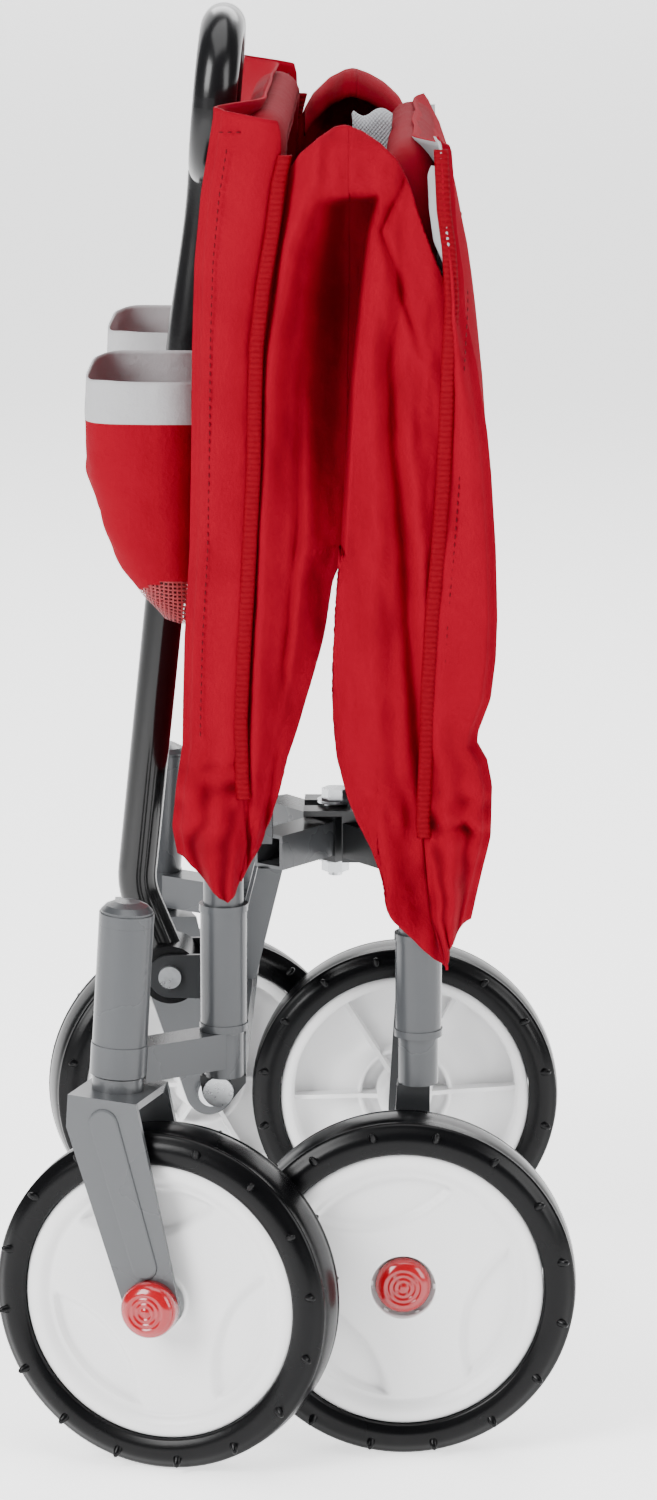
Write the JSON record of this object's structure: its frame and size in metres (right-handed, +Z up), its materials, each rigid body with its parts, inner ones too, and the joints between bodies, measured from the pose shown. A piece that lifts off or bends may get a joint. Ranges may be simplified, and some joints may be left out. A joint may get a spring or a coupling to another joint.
{
  "type": "folding pull wagon",
  "caption": "Child's folding fabric pull wagon standing folded, with a swinging pull handle, swivelling front casters and a floor that folds up in the middle",
  "frame": {"origin": "On the floor, below the middle of the bounding box of the folded wagon", "axes": "+Z up, -X towards the handle and casters (front), +Y across the wagon"},
  "size_m": [0.3166, 0.522, 0.778],
  "materials": {
    "powder_coat": "satin dark grey powder coat",
    "dark_steel": "near-black powder coat",
    "zinc": "bright zinc plate",
    "grip_black": "glossy black moulding",
    "trim_plastic": "dark grey moulded rings, blocks and caps",
    "tyre": "black, semi-gloss",
    "disc": "light grey-white moulding",
    "cap_red": "bright red push cap",
    "canvas_red": "red woven canvas",
    "webbing_grey": "light grey webbing",
    "floor_board": "stiff black board"
  },
  "bodies": {
    "front_frame": {"front_upper_frame": "powder_coat", "front_legs": "powder_coat", "front_sleeves": "powder_coat", "front_sleeve_rings": "trim_plastic", "front_cross_tube": "powder_coat", "caster_arms": "powder_coat", "caster_housings": "powder_coat", "caster_caps": "trim_plastic", "caster_bushes": "trim_plastic", "pin_plates": "powder_coat", "tie_rod": "zinc", "handle_clevis": "powder_coat", "handle_bolt": "zinc", "hub_block": "dark_steel", "hub_bolt": "zinc", "hub_braces_front": "dark_steel", "front_hinge_blocks": "trim_plastic", "front_hinge_rod": "zinc", "front_panel": "canvas_red", "pocket_near": "canvas_red", "pocket_far": "canvas_red", "side_walls_front": "canvas_red"},
    "handle": {"handle_tube": "dark_steel", "handle_barrel": "grip_black", "handle_grip": "grip_black"},
    "front_floor": {"floor_frame_front": "powder_coat", "floor_board_front": "floor_board", "floor_pad_front": "canvas_red", "apex_hinge_rod": "zinc"},
    "rear_floor": {"floor_frame_rear": "powder_coat", "floor_board_rear": "floor_board", "floor_pad_rear": "canvas_red", "pull_strap": "webbing_grey"},
    "rear_frame": {"rear_upper_frame": "powder_coat", "rear_legs": "powder_coat", "rear_sleeves": "powder_coat", "rear_sleeve_rings": "trim_plastic", "rear_cross_tube": "powder_coat", "hub_bracket": "dark_steel", "axle_brackets": "dark_steel", "rear_axle": "zinc", "rear_hinge": "trim_plastic", "rear_panel": "canvas_red", "side_walls_rear": "canvas_red"},
    "caster_near": {"fork_near": "powder_coat", "front_axle_near": "zinc", "front_cap_near": "cap_red"},
    "wheel_front_near": {"tyre_front_near": "tyre", "disc_front_near": "disc"},
    "wheel_rear_near": {"tyre_rear_near": "tyre", "disc_rear_near": "disc", "cap_rear_near": "cap_red"},
    "caster_far": {"fork_far": "powder_coat", "front_axle_far": "zinc", "front_cap_far": "cap_red"},
    "wheel_front_far": {"tyre_front_far": "tyre", "disc_front_far": "disc"},
    "wheel_rear_far": {"tyre_rear_far": "tyre", "disc_rear_far": "disc", "cap_rear_far": "cap_red"}
  },
  "joints": [
    {"name": "fold", "type": "hinge", "parent": "front_frame", "child": "front_floor", "pos_m": [-0.01785, 0, 0.345], "axis": [0, 1, 0], "range_deg": [0, 82.89]},
    {"name": "floor_apex", "type": "hinge", "parent": "front_floor", "child": "rear_floor", "pos_m": [0.01865, 0, 0.63773], "axis": [0, 1, 0], "range_deg": [-165.78, 0]},
    {"name": "floor_rear_hinge", "type": "hinge", "parent": "rear_floor", "child": "rear_frame", "pos_m": [0.05515, 0, 0.345], "axis": [0, 1, 0], "range_deg": [0, 82.89]},
    {"name": "handle", "type": "hinge", "parent": "front_frame", "child": "handle", "pos_m": [-0.07185, 0, 0.223], "axis": [0, -1, 0], "range_deg": [0, 105]},
    {"name": "swivel_near", "type": "hinge", "parent": "front_frame", "child": "caster_near", "pos_m": [-0.09145, -0.207, 0.217], "axis": [0.0607, 0, 0.9982], "range_deg": [-300, 0]},
    {"name": "spin_front_near", "type": "hinge", "parent": "caster_near", "child": "wheel_front_near", "pos_m": [-0.06486, -0.21738, 0.095], "axis": [0.2918, 0.9563, -0.0177], "continuous": true},
    {"name": "spin_rear_near", "type": "hinge", "parent": "rear_frame", "child": "wheel_rear_near", "pos_m": [0.06335, -0.1925, 0.095], "axis": [0, 1, 0], "continuous": true},
    {"name": "swivel_far", "type": "hinge", "parent": "front_frame", "child": "caster_far", "pos_m": [-0.09145, 0.207, 0.217], "axis": [0.0607, 0, 0.9982], "range_deg": [0, 300]},
    {"name": "spin_front_far", "type": "hinge", "parent": "caster_far", "child": "wheel_front_far", "pos_m": [-0.06486, 0.21738, 0.095], "axis": [-0.2918, 0.9563, 0.0177], "continuous": true},
    {"name": "spin_rear_far", "type": "hinge", "parent": "rear_frame", "child": "wheel_rear_far", "pos_m": [0.06335, 0.1925, 0.095], "axis": [0, 1, 0], "continuous": true}
  ],
  "couplings": [
    {"joint": "floor_apex", "follows": "fold", "ratio": -2},
    {"joint": "floor_rear_hinge", "follows": "fold", "ratio": 1}
  ]
}
